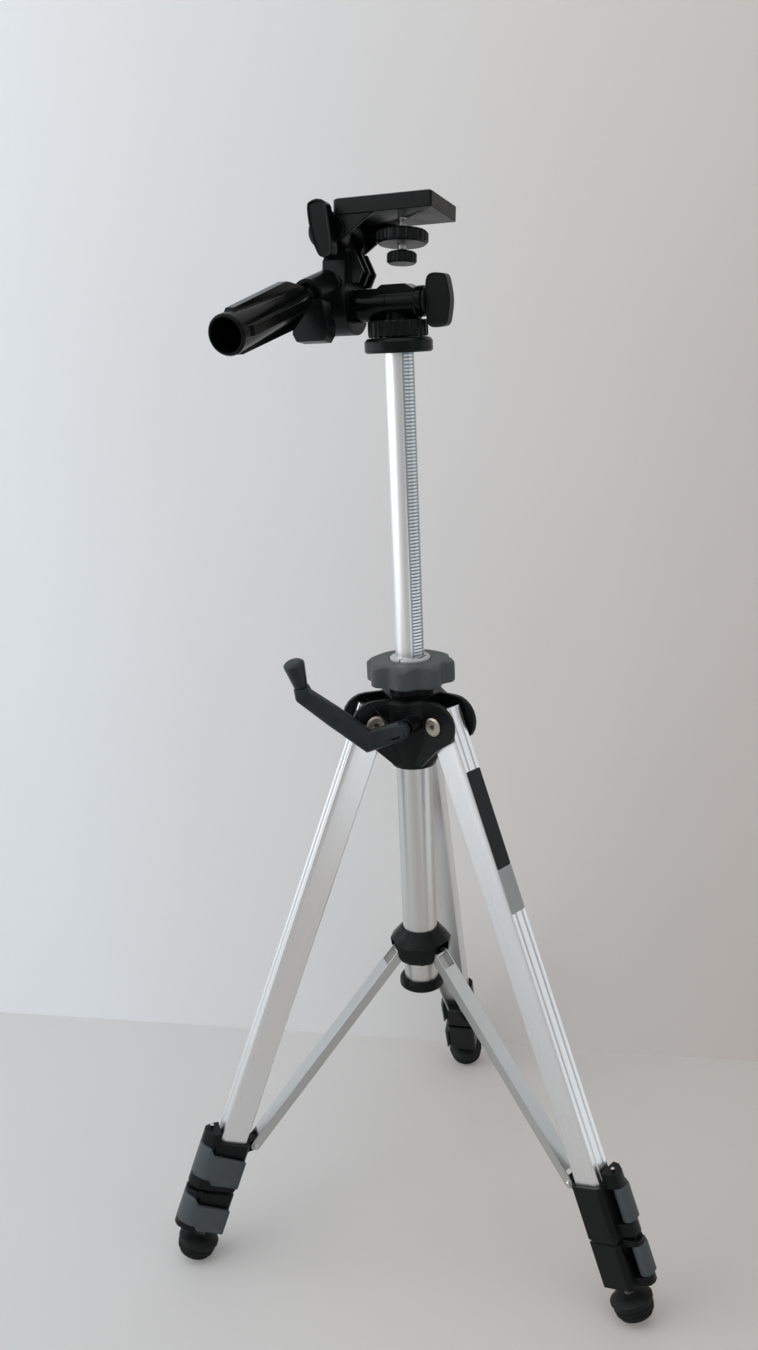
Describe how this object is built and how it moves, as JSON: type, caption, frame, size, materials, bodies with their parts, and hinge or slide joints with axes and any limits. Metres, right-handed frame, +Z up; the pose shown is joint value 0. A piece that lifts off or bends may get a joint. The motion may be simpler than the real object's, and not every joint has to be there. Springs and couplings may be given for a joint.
{
  "type": "photo tripod",
  "caption": "Lightweight folding camera tripod with telescopic legs, geared centre column with a hand crank, and a three-way pan head.",
  "frame": {"origin": "centre of the overall footprint box, on the floor", "axes": "+Z up, -Y towards the pan handle and crank"},
  "size_m": [0.3868, 0.371, 0.8219],
  "materials": {
    "aluminium": "satin anodised",
    "black_plastic": "fine-grained moulding",
    "gloss_plastic": "smooth moulding",
    "lever_plastic": "fine-grained moulding",
    "collar_plastic": "fine-grained moulding",
    "rubber": "matt",
    "nickel": "warm nickel plate",
    "steel": "bright zinc",
    "nylon": "translucent nylon"
  },
  "bodies": {
    "stand": {"shoulder": "black_plastic", "lower_sleeve": "aluminium", "sleeve_cap": "black_plastic", "column_collet": "nylon", "front_left_pivot_bolt": "nickel", "front_right_pivot_bolt": "nickel", "rear_pivot_bolt": "nickel"},
    "front_left_leg": {"front_left_upper_tube": "aluminium", "front_left_upper_lock": "black_plastic"},
    "front_left_middle_section": {"front_left_middle_tube": "aluminium", "front_left_lower_lock": "black_plastic"},
    "front_left_lower_section": {"front_left_lower_tube": "aluminium", "front_left_foot_stud": "steel", "front_left_rubber_foot": "rubber"},
    "front_left_upper_lock_lever": {"front_left_upper_lever": "lever_plastic"},
    "front_left_lower_lock_lever": {"front_left_lower_lever": "lever_plastic"},
    "front_left_brace_arm": {"front_left_brace": "aluminium"},
    "front_right_leg": {"front_right_upper_tube": "aluminium", "front_right_upper_lock": "black_plastic"},
    "front_right_middle_section": {"front_right_middle_tube": "aluminium", "front_right_lower_lock": "black_plastic"},
    "front_right_lower_section": {"front_right_lower_tube": "aluminium", "front_right_foot_stud": "steel", "front_right_rubber_foot": "rubber"},
    "front_right_upper_lock_lever": {"front_right_upper_lever": "lever_plastic"},
    "front_right_lower_lock_lever": {"front_right_lower_lever": "lever_plastic"},
    "front_right_brace_arm": {"front_right_brace": "aluminium"},
    "rear_leg": {"rear_upper_tube": "aluminium", "rear_upper_lock": "black_plastic"},
    "rear_middle_section": {"rear_middle_tube": "aluminium", "rear_lower_lock": "black_plastic"},
    "rear_lower_section": {"rear_lower_tube": "aluminium", "rear_foot_stud": "steel", "rear_rubber_foot": "rubber"},
    "rear_upper_lock_lever": {"rear_upper_lever": "lever_plastic"},
    "rear_lower_lock_lever": {"rear_lower_lever": "lever_plastic"},
    "rear_brace_arm": {"rear_brace": "aluminium"},
    "brace_spider": {"brace_collar": "black_plastic"},
    "column": {"centre_column": "aluminium", "head_base_flange": "black_plastic"},
    "crank": {"crank_shaft": "black_plastic", "crank_arm": "black_plastic"},
    "crank_grip": {"crank_knob": "collar_plastic"},
    "lock_collar": {"column_lock_collar": "collar_plastic"},
    "pan_head": {"pan_ring": "black_plastic", "pan_body": "gloss_plastic"},
    "pan_knob": {"pan_lock_knob": "black_plastic"},
    "tilt_head": {"tilt_body": "black_plastic"},
    "pan_handle": {"handle_rod": "steel", "handle_grip": "gloss_plastic"},
    "platform": {"camera_platform": "black_plastic", "platform_pad": "rubber"},
    "side_knob": {"side_tilt_knob": "gloss_plastic"},
    "screw": {"camera_screw": "steel"},
    "lock_ring": {"screw_lock_ring": "black_plastic"}
  },
  "joints": [
    {"name": "front_left_leg_fold", "type": "hinge", "parent": "stand", "child": "front_left_leg", "pos_m": [-0.03064, -0.05287, 0.4459], "axis": [-0.5, 0.866, 0], "range_deg": [-20, 0]},
    {"name": "front_left_middle_slide", "type": "slide", "parent": "front_left_leg", "child": "front_left_middle_section", "axis": [-0.3175, -0.1833, -0.9304], "range_m": [0, 0.28]},
    {"name": "front_left_lower_slide", "type": "slide", "parent": "front_left_middle_section", "child": "front_left_lower_section", "axis": [-0.3175, -0.1833, -0.9304], "range_m": [0, 0.3]},
    {"name": "front_left_upper_lever_turn", "type": "hinge", "parent": "front_left_leg", "child": "front_left_upper_lock_lever", "pos_m": [-0.16838, -0.1347, 0.09521], "axis": [-0.3175, -0.1833, -0.9304], "range_deg": [0, 95]},
    {"name": "front_left_lower_lever_turn", "type": "hinge", "parent": "front_left_middle_section", "child": "front_left_lower_lock_lever", "pos_m": [-0.18266, -0.14295, 0.05335], "axis": [-0.3175, -0.1833, -0.9304], "range_deg": [0, 95]},
    {"name": "front_left_brace_fold", "type": "hinge", "parent": "front_left_leg", "child": "front_left_brace_arm", "pos_m": [-0.13135, -0.11101, 0.09619], "axis": [-0.5, 0.866, 0], "range_deg": [-21.4, 0]},
    {"name": "front_right_leg_fold", "type": "hinge", "parent": "stand", "child": "front_right_leg", "pos_m": [0.02825, -0.05287, 0.4459], "axis": [-0.5, -0.866, 0], "range_deg": [-20, 0]},
    {"name": "front_right_middle_slide", "type": "slide", "parent": "front_right_leg", "child": "front_right_middle_section", "axis": [0.3175, -0.1833, -0.9304], "range_m": [0, 0.28]},
    {"name": "front_right_lower_slide", "type": "slide", "parent": "front_right_middle_section", "child": "front_right_lower_section", "axis": [0.3175, -0.1833, -0.9304], "range_m": [0, 0.3]},
    {"name": "front_right_upper_lever_turn", "type": "hinge", "parent": "front_right_leg", "child": "front_right_upper_lock_lever", "pos_m": [0.168, -0.13124, 0.09521], "axis": [0.3175, -0.1833, -0.9304], "range_deg": [0, 95]},
    {"name": "front_right_lower_lever_turn", "type": "hinge", "parent": "front_right_middle_section", "child": "front_right_lower_lock_lever", "pos_m": [0.18228, -0.13948, 0.05335], "axis": [0.3175, -0.1833, -0.9304], "range_deg": [0, 95]},
    {"name": "front_right_brace_fold", "type": "hinge", "parent": "front_right_leg", "child": "front_right_brace_arm", "pos_m": [0.12897, -0.11101, 0.09619], "axis": [-0.5, -0.866, 0], "range_deg": [-21.4, 0]},
    {"name": "rear_leg_fold", "type": "hinge", "parent": "stand", "child": "rear_leg", "pos_m": [-0.00119, -0.00186, 0.4459], "axis": [1, 0, 0], "range_deg": [-20, 0]},
    {"name": "rear_middle_slide", "type": "slide", "parent": "rear_leg", "child": "rear_middle_section", "axis": [0, 0.3666, -0.9304], "range_m": [0, 0.28]},
    {"name": "rear_lower_slide", "type": "slide", "parent": "rear_middle_section", "child": "rear_lower_section", "axis": [0, 0.3666, -0.9304], "range_m": [0, 0.3]},
    {"name": "rear_upper_lever_turn", "type": "hinge", "parent": "rear_leg", "child": "rear_upper_lock_lever", "pos_m": [-0.00319, 0.15834, 0.09521], "axis": [0, 0.3666, -0.9304], "range_deg": [0, 95]},
    {"name": "rear_lower_lever_turn", "type": "hinge", "parent": "rear_middle_section", "child": "rear_lower_lock_lever", "pos_m": [-0.00319, 0.17484, 0.05335], "axis": [0, 0.3666, -0.9304], "range_deg": [0, 95]},
    {"name": "rear_brace_fold", "type": "hinge", "parent": "rear_leg", "child": "rear_brace_arm", "pos_m": [-0.00119, 0.11443, 0.09619], "axis": [1, 0, 0], "range_deg": [-21.4, 0]},
    {"name": "brace_collar_slide", "type": "slide", "parent": "stand", "child": "brace_spider", "axis": [0, 0, 1], "range_m": [0, 0.0332]},
    {"name": "column_slide", "type": "slide", "parent": "stand", "child": "column", "axis": [0, 0, 1], "range_m": [-0.2, 0]},
    {"name": "crank_turn", "type": "hinge", "parent": "stand", "child": "crank", "pos_m": [-0.00106, -0.07848, 0.4469], "axis": [-0.342, -0.9397, 0], "range_deg": [0, 2865]},
    {"name": "crank_knob_spin", "type": "hinge", "parent": "crank", "child": "crank_grip", "pos_m": [-0.07058, -0.10486, 0.49603], "axis": [-0.1611, -0.2222, 0.9616], "continuous": true},
    {"name": "lock_collar_turn", "type": "hinge", "parent": "stand", "child": "lock_collar", "pos_m": [-0.00119, -0.03587, 0.4779], "axis": [0, 0, 1], "range_deg": [0, 180]},
    {"name": "head_pan", "type": "hinge", "parent": "column", "child": "pan_head", "pos_m": [-0.00119, -0.03587, 0.7339], "axis": [0, 0, 1], "continuous": true},
    {"name": "pan_knob_turn", "type": "hinge", "parent": "pan_head", "child": "pan_knob", "pos_m": [0.02929, -0.04152, 0.7514], "axis": [0.9833, -0.1822, 0], "range_deg": [0, 180]},
    {"name": "head_tilt", "type": "hinge", "parent": "pan_head", "child": "tilt_head", "pos_m": [-0.00119, -0.03587, 0.7514], "axis": [0.9833, -0.1822, 0], "range_deg": [-60, 60]},
    {"name": "handle_twist", "type": "hinge", "parent": "tilt_head", "child": "pan_handle", "pos_m": [-0.04796, -0.02479, 0.76823], "axis": [-0.1778, -0.9596, -0.2181], "range_deg": [0, 180]},
    {"name": "side_tilt", "type": "hinge", "parent": "tilt_head", "child": "platform", "pos_m": [-0.04326, -0.02142, 0.79794], "axis": [-0.1805, -0.9737, 0.1392], "range_deg": [0, 90]},
    {"name": "side_knob_turn", "type": "hinge", "parent": "tilt_head", "child": "side_knob", "pos_m": [-0.04326, -0.02142, 0.79794], "axis": [-0.1805, -0.9737, 0.1392], "range_deg": [0, 180]},
    {"name": "camera_screw_turn", "type": "hinge", "parent": "platform", "child": "screw", "pos_m": [0.00346, -0.03601, 0.78159], "axis": [0.0254, 0.1368, 0.9903], "continuous": true},
    {"name": "lock_ring_turn", "type": "hinge", "parent": "platform", "child": "lock_ring", "pos_m": [0.00379, -0.03423, 0.79447], "axis": [0.0254, 0.1368, 0.9903], "continuous": true}
  ],
  "couplings": [
    {"joint": "crank_turn", "follows": "column_slide", "rad_per_m": -250},
    {"joint": "front_right_leg_fold", "follows": "front_left_leg_fold", "ratio": 1},
    {"joint": "rear_leg_fold", "follows": "front_left_leg_fold", "ratio": 1},
    {"joint": "front_left_brace_fold", "follows": "front_left_leg_fold", "ratio": 1.06},
    {"joint": "front_right_brace_fold", "follows": "front_left_leg_fold", "ratio": 1.06},
    {"joint": "rear_brace_fold", "follows": "front_left_leg_fold", "ratio": 1.06},
    {"joint": "brace_collar_slide", "follows": "front_left_leg_fold", "m_per_rad": -0.0945}
  ]
}
